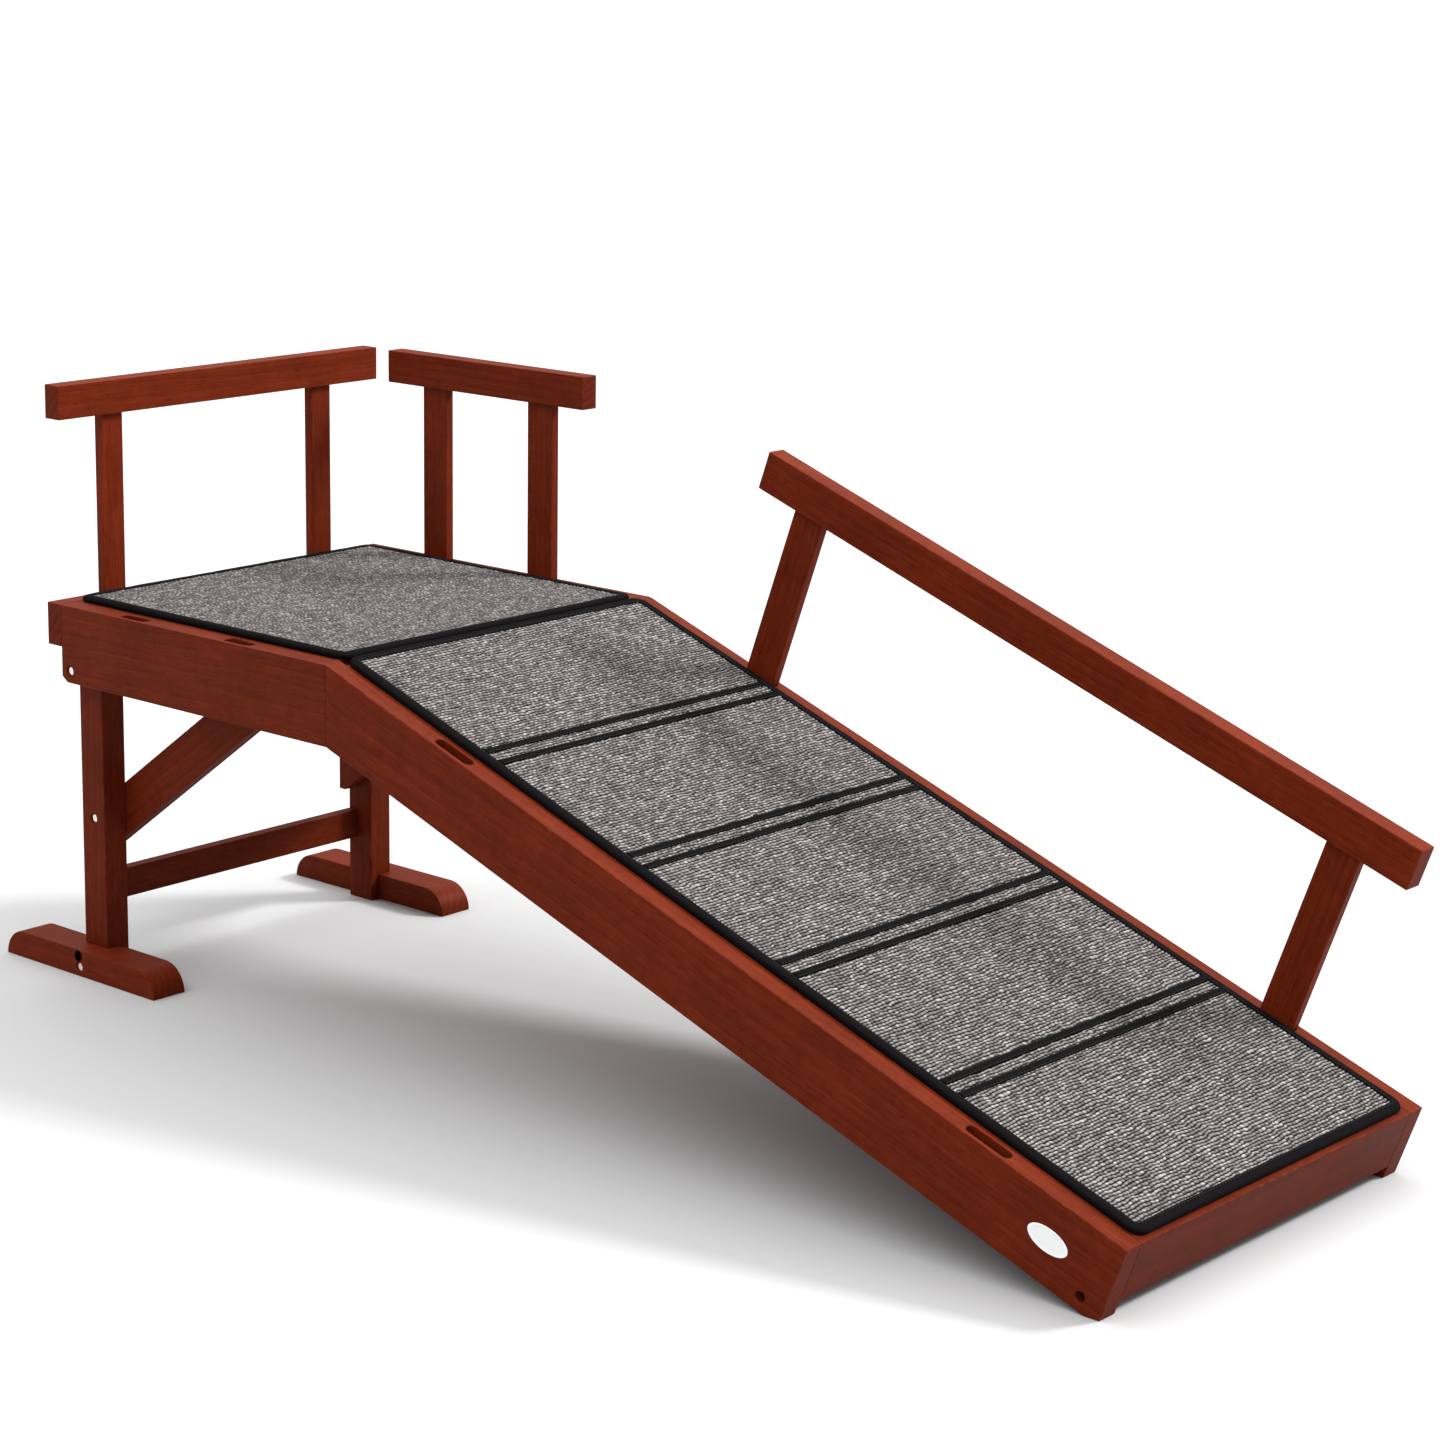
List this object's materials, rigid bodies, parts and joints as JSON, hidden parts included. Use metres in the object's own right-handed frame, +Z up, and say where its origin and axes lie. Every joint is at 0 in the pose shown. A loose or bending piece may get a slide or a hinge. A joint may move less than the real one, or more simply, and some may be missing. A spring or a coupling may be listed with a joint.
{
  "type": "dog ramp",
  "caption": "Wooden dog ramp: level top platform on braced legs, sloping run with bound carpet mats, and lift-out handrails along the end and one side.",
  "frame": {"origin": "centre of the whole part's footprint, on the floor", "axes": "+X from the level platform down the ramp to its low end, +Y towards the side that carries the handrails, +Z up"},
  "size_m": [1.2666, 0.4054, 0.546],
  "materials": {
    "mahogany": "red-brown stained wood under a thin satin varnish",
    "dowel_wood": "bare birch dowels",
    "steel": "zinc-plated steel",
    "carpet": "ribbed low loop pile in mixed grey, black and off-white yarn",
    "webbing": "black woven polyester tape",
    "hook_tape": "black hook tape",
    "badge": "white gloss oval plate with no lettering",
    "spacer": "black nylon washer"
  },
  "bodies": {
    "base": {"platform_rail_left": "mahogany", "platform_rail_right": "mahogany", "platform_end_board": "mahogany", "platform_deck": "mahogany", "platform_ledger_left": "mahogany", "platform_ledger_right": "mahogany", "platform_batten": "mahogany", "bend_batten": "mahogany", "ramp_rail_left": "mahogany", "ramp_rail_right": "mahogany", "ramp_end_board": "mahogany", "ramp_deck": "mahogany", "ramp_ledger_left": "mahogany", "ramp_ledger_right": "mahogany", "ramp_batten_top": "mahogany", "ramp_batten_upper": "mahogany", "ramp_batten_middle": "mahogany", "ramp_batten_lower": "mahogany", "joint_plate_left": "steel", "joint_plate_right": "steel", "leg_left": "mahogany", "leg_right": "mahogany", "foot_left": "mahogany", "foot_right": "mahogany", "leg_stretcher": "mahogany", "brace_left": "mahogany", "brace_right": "mahogany", "platform_hook_tape": "hook_tape", "ramp_hook_tape": "hook_tape", "badge": "badge", "leg_bolts": "steel", "leg_spacers": "spacer", "brace_bolts": "steel", "brace_top_bolts": "steel", "foot_bolts": "steel", "bolt_nuts": "steel", "joint_plate_screws": "steel", "end_board_screws": "steel", "platform_deck_screws": "steel", "ramp_deck_screws": "steel", "ledger_screws": "steel", "stretcher_dowels": "dowel_wood", "ramp_end_dowels": "dowel_wood"},
    "end_handrail": {"end_handrail_bar": "mahogany", "end_handrail_post_left": "mahogany", "end_handrail_post_right": "mahogany"},
    "side_handrail": {"side_handrail_bar": "mahogany", "side_handrail_post_rear": "mahogany", "side_handrail_post_front": "mahogany"},
    "ramp_handrail": {"ramp_handrail_bar": "mahogany", "ramp_handrail_post_upper": "mahogany", "ramp_handrail_post_lower": "mahogany"},
    "platform_mat": {"platform_carpet": "carpet", "platform_binding": "webbing"},
    "ramp_mat": {"ramp_carpet": "carpet", "ramp_binding": "webbing", "ramp_stripes": "webbing"}
  },
  "joints": [
    {"name": "end_handrail_lift", "type": "slide", "parent": "base", "child": "end_handrail", "axis": [0, 0, 1], "range_m": [0, 0.06]},
    {"name": "side_handrail_lift", "type": "slide", "parent": "base", "child": "side_handrail", "axis": [0, 0, 1], "range_m": [0, 0.06]},
    {"name": "ramp_handrail_lift", "type": "slide", "parent": "base", "child": "ramp_handrail", "axis": [0.3322, 0, 0.9432], "range_m": [0, 0.06]},
    {"name": "platform_mat_lift", "type": "slide", "parent": "base", "child": "platform_mat", "axis": [0, 0, 1], "range_m": [0, 0.05]},
    {"name": "ramp_mat_lift", "type": "slide", "parent": "base", "child": "ramp_mat", "axis": [0.3322, 0, 0.9432], "range_m": [0, 0.05]}
  ]
}
